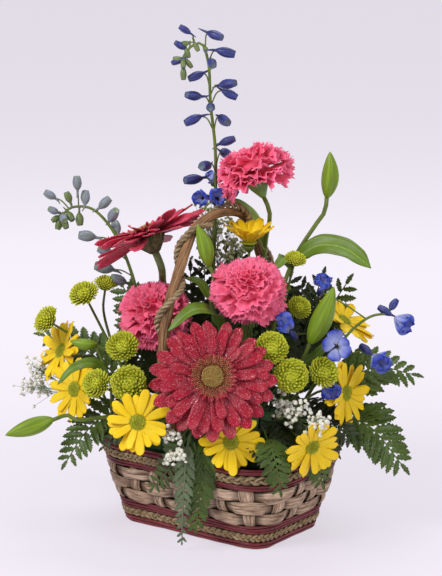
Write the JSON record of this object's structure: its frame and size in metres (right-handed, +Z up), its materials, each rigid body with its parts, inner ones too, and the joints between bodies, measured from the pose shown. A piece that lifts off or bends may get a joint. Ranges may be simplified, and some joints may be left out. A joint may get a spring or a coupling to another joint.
{
  "type": "flower basket arrangement",
  "caption": "Low woven basket with a fixed arched vine handle, filled with cut flowers and fern fronds standing in a block of wet foam.",
  "frame": {"origin": "centre of the basket's flat underside", "axes": "+Z up, +X along the basket's long side, +Y along its short side; the handle arches over the short way in the plane x = 0, and the arrangement's front faces 36.8 degrees round from -Y towards +X"},
  "size_m": [0.3173, 0.2895, 0.431],
  "materials": {
    "splint": "dry satin",
    "burgundy": "dyed, low sheen",
    "braid": "dry plaited grass",
    "vine": "dry bark",
    "cord": "dry twisted grass",
    "tray": "matte",
    "foam": "wet, open cells",
    "gerbera": "velvety with fine glitter",
    "carnation": "soft matte petal",
    "daisy": "satin petal",
    "button": "soft matte petal",
    "stem": "fresh green, satin",
    "leaf": "glossy leaf",
    "delphinium": "satin petal",
    "fern": "leathery leaf",
    "breath": "matte",
    "filler": "dry matte"
  },
  "bodies": {
    "root": {"basket_base": "splint", "basket_wall": "splint", "breath_front": "breath", "breath_left": "breath", "breath_right": "breath", "button_spray_left": "button", "button_spray_right": "button", "button_spray_upper_left": "button", "button_spray_upper_right": "button", "carnation_left_petals": "carnation", "carnation_left_stem": "stem", "carnation_right_petals": "carnation", "carnation_right_stem": "stem", "carnation_top_petals": "carnation", "carnation_top_stem": "stem", "daisy_back_petals_1": "daisy", "daisy_back_petals_2": "daisy", "daisy_back_petals_3": "daisy", "daisy_back_stems": "stem", "daisy_front_petals_1": "daisy", "daisy_front_petals_2": "daisy", "daisy_front_stems": "stem", "daisy_left_petals_1": "daisy", "daisy_left_petals_2": "daisy", "daisy_left_stems": "stem", "daisy_right_petals_1": "daisy", "daisy_right_petals_2": "daisy", "daisy_right_stems": "stem", "delphinium_left": "delphinium", "delphinium_right": "delphinium", "delphinium_tall": "delphinium", "fern_back_left": "fern", "fern_back_right": "fern", "fern_front_right": "fern", "fern_left_lower": "fern", "fern_left_upper": "fern", "fern_right_back": "fern", "fern_right_lower": "fern", "fern_right_upper": "fern", "fern_trailing": "fern", "fern_trailing_pale": "fern", "filler_spray": "filler", "foam": "foam", "foot_band": "burgundy", "gerbera_front_petals": "gerbera", "gerbera_front_stem": "stem", "gerbera_left_petals": "gerbera", "gerbera_left_stem": "stem", "handle_core": "vine", "handle_wrap": "cord", "lily_centre": "leaf", "lily_left": "leaf", "lily_low_right": "leaf", "lily_right": "leaf", "lower_band": "burgundy", "lower_braid": "braid", "rim_band": "burgundy", "rim_braid": "braid", "tray": "tray", "upper_band": "burgundy"}
  },
  "joints": []
}
